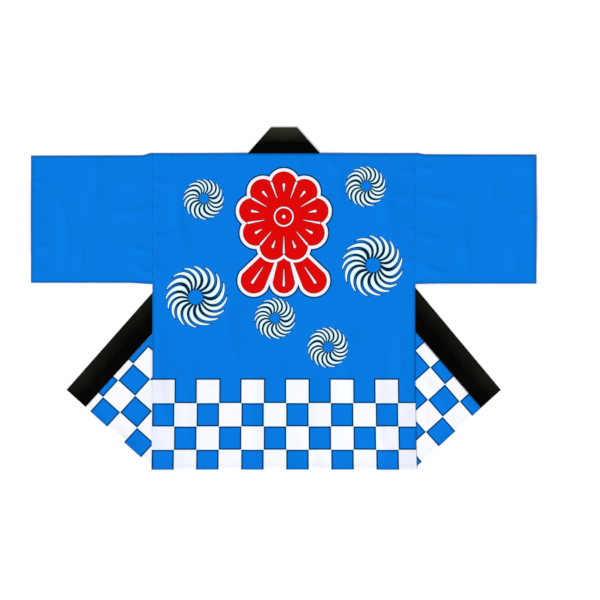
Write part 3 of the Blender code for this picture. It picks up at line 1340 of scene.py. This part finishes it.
back_dyes = (
    dyed("back_dye", back_face),
    dyed("back_inside", lambda x, y: back_print(x, y, INSIDE_BLUE, INSIDE_DYES)),
)
sleeve_dyes = (dyed("sleeve_dye", sleeve_face), dyed("sleeve_inside", lambda x, y: INSIDE_BLUE))
front_dyes = {}
for side, name in SIDES.items():
    # The front's blue carries painted shade along its hem.
    face = lambda x, y: check_print(x, y, edge_shade(to_hem(y), BLUE), FRONT_CHECKS[side], WHITE, NAVY)
    inside = lambda x, y: check_print(x, y, INSIDE_BLUE, FRONT_CHECKS[side], INSIDE_WHITE, INSIDE_LINE)
    front_dyes[side] = (dyed(f"front_{name}_dye", face), dyed(f"front_{name}_inside", inside))
print("cloth materials are ready")

# %% [markdown]
# The band is black cotton with a grey-brown painted sheen, mostly along its edges and behind the neck. The hems
# were sewn before they were dyed, so their thread carries the print too, a little darker as painted shade. The
# cuffs have blue thread, the band black.

# %% Band and thread materials
BAND_ROUND = band_section()[-1][2]
# Where the painted sheen lies on the band, and how strong it is.
SHEEN_REACH = 0.041
SHEEN_ALONG_EDGES = 0.22
SHEEN_ON_STAND = 0.62
SHEEN_DRIFT = 0.25
DARK_STRAND = 0.72
TWIST_SCALE = 1800
TWIST_RELIEF = 0.00005


def band_colour(across, up):
    """Black, with a painted sheen along its edges and behind the neck, varied by the drift of the dye."""
    drift = use_group(weave_group, across, up)["Drift"]
    near_edge = clamp(1.0 - low(across, BAND_ROUND - across) / SHEEN_REACH)
    on_stand = clamp((up - (SHOULDER_Y - 0.02)) / 0.03)
    painted_sheen = near_edge * (SHEEN_ALONG_EDGES + on_stand * SHEEN_ON_STAND)
    return mix(clamp(painted_sheen + drift * SHEEN_DRIFT), BLACK, PAINTED_SHEEN)


def thread_material(name, shade):
    """Spun cotton: matt, with the twist of its strands as a fine ripple."""
    material, shader = new_material(name)
    tree = material.node_tree
    place = new_node(tree, "ShaderNodeTexCoord")
    twist = new_node(tree, "ShaderNodeTexNoise")
    tree.links.new(place.outputs["Object"], twist.inputs["Vector"])
    put(twist, {"Scale": TWIST_SCALE})
    strands = Value(tree, twist.outputs["Fac"])
    dark = tuple(DARK_STRAND * channel for channel in shade[:3]) + (1,)
    wire(mix(strands, dark, shade), shader.inputs["Base Color"])
    bumped(tree, strands, TWIST_RELIEF, shader)
    put(shader, {"Roughness": 0.75, "Specular IOR Level": 0.15})
    return material


# Hem thread printed like the cloth, darker as painted shade of its stitch groove.
def shaded_thread_check(places):
    return lambda x, y: check_print(x, y, SHADED_THREAD_BLUE, places, SHADED_THREAD_WHITE, NAVY)


band_dye_and_sheen = dyed("band_dye_and_sheen", band_colour, bump=0.00008, drift=0.3, gloss=0.03, sheen=0.0)
back_thread_print_and_shade = dyed("back_thread", shaded_thread_check(BACK_CHECK))
front_thread_prints_and_shade = {
    side: dyed(f"front_{name}_thread", shaded_thread_check(FRONT_CHECKS[side])) for side, name in SIDES.items()
}
blue_thread = thread_material("blue_thread", colour(4, 104, 200))
black_thread = thread_material("black_thread", colour(26, 26, 24))
print("band and thread materials are ready")


# %% [markdown]
# ## What each piece is
#
# Every piece stands for its imported solid and rides on the coat's one body, with its thread.

# %% Materials, bodies and slots
coat = {
    "back": (back_cloth, back_dyes, [back_thread], back_thread_print_and_shade),
    "collar": (collar_band, [band_dye_and_sheen], band_threads, black_thread),
}
for side, name in SIDES.items():
    thread_dye = front_thread_prints_and_shade[side]
    coat["front_" + name] = (front_cloths[side], front_dyes[side], [front_threads[side]], thread_dye)
for side, name in SIDES.items():
    coat["sleeve_" + name] = (sleeve_cloths[side], sleeve_dyes, [cuff_threads[side]], blue_thread)
for node, (piece, dyes, sewn, thread_dye) in coat.items():
    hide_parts(node)
    for dye in dyes:
        piece.data.materials.append(dye)
    for thread in sewn:
        thread.data.materials.append(thread_dye)
    for part in [piece, *sewn]:
        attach(part, "root")
print(len(coat), "pieces of cloth stand for the packed solids")

# %% Two loops over the sides that do nothing
for side in SIDES:
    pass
for side in SIDES:
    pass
